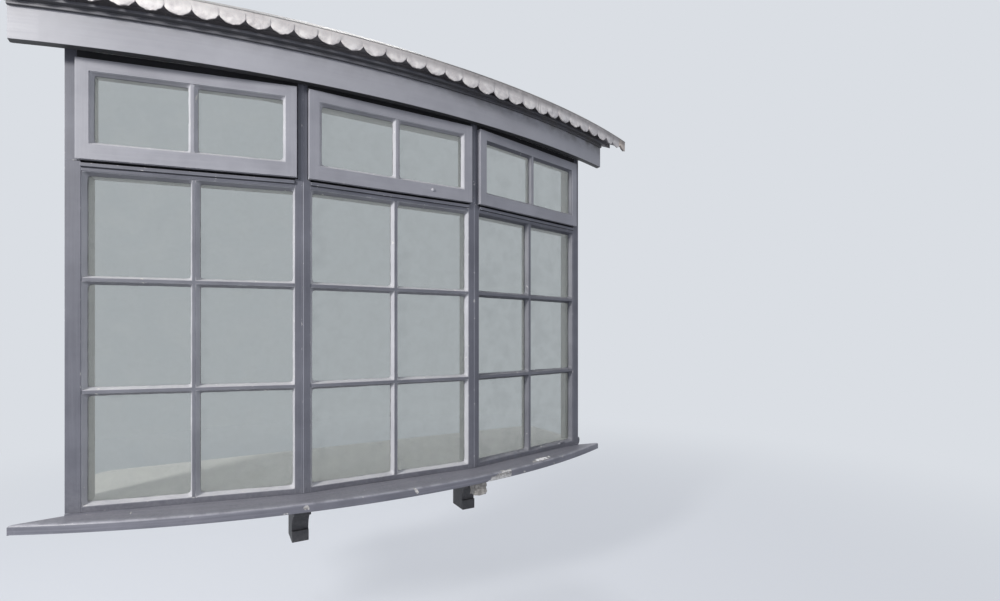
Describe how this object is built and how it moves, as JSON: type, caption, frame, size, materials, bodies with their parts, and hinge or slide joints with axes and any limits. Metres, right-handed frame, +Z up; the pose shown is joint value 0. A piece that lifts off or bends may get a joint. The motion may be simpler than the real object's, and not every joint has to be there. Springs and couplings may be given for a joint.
{
  "type": "bow window",
  "caption": "Shallow timber bow window of flat lights on a curve, each a small-paned fixed light under a top-hung vent, with curved sill, fascia and scalloped lead roof.",
  "frame": {"origin": "middle of the sill's back face, on the wall's outer face", "axes": "+X to the right seen from the street, +Y into the room, +Z up"},
  "size_m": [2.5992, 0.7078, 1.9147],
  "materials": {
    "frame_paint": "mid grey gloss paint with a violet cast, brushed on softwood",
    "vent_paint": "mid grey gloss paint on softwood",
    "putty_paint": "painted linseed putty, slightly paler where sun-bleached",
    "sill_paint": "mid grey paint, chalky and flaking at the nose",
    "fascia_paint": "mid grey gloss paint, smooth",
    "bracket_paint": "dark grey paint, dusty",
    "weathered_timber": "pale weathered timber with remains of paint",
    "inside_paint": "white satin paint",
    "bare_timber": "unpainted sawn softwood, hidden",
    "window_glass": "clear sheet glass, slightly uneven",
    "lead_sheet": "weathered lead sheet, pale patina with dark stains",
    "lead_edge": "weathered lead lobes, pale and chalky"
  },
  "bodies": {
    "root": {"sill": "sill_paint", "sill_block": "weathered_timber", "bracket_left": "bracket_paint", "bracket_right": "bracket_paint", "window_board": "inside_paint", "jamb_left": "frame_paint", "jamb_right": "frame_paint", "mullion_left": "frame_paint", "mullion_right": "frame_paint", "bottom_rail_left": "frame_paint", "bottom_rail_middle": "frame_paint", "bottom_rail_right": "frame_paint", "transom_left": "frame_paint", "transom_middle": "frame_paint", "transom_right": "frame_paint", "head_rail_left": "frame_paint", "head_rail_middle": "frame_paint", "head_rail_right": "frame_paint", "glazing_bars_left": "frame_paint", "glazing_bars_middle": "frame_paint", "glazing_bars_right": "frame_paint", "fixed_glass_left": "window_glass", "fixed_glass_middle": "window_glass", "fixed_glass_right": "window_glass", "fixed_putty_left": "putty_paint", "fixed_putty_middle": "putty_paint", "fixed_putty_right": "putty_paint", "vent_sash_left": "vent_paint", "vent_sash_middle": "vent_paint", "vent_sash_right": "vent_paint", "vent_glass_left": "window_glass", "vent_glass_middle": "window_glass", "vent_glass_right": "window_glass", "vent_putty_left": "putty_paint", "vent_putty_middle": "putty_paint", "vent_putty_right": "putty_paint", "head_board": "inside_paint", "fascia": "fascia_paint", "fascia_moulding": "fascia_paint", "roof_bearers": "bare_timber", "roof_deck": "bare_timber", "lead_roof": "lead_sheet", "scalloped_edge": "lead_edge"}
  },
  "joints": []
}
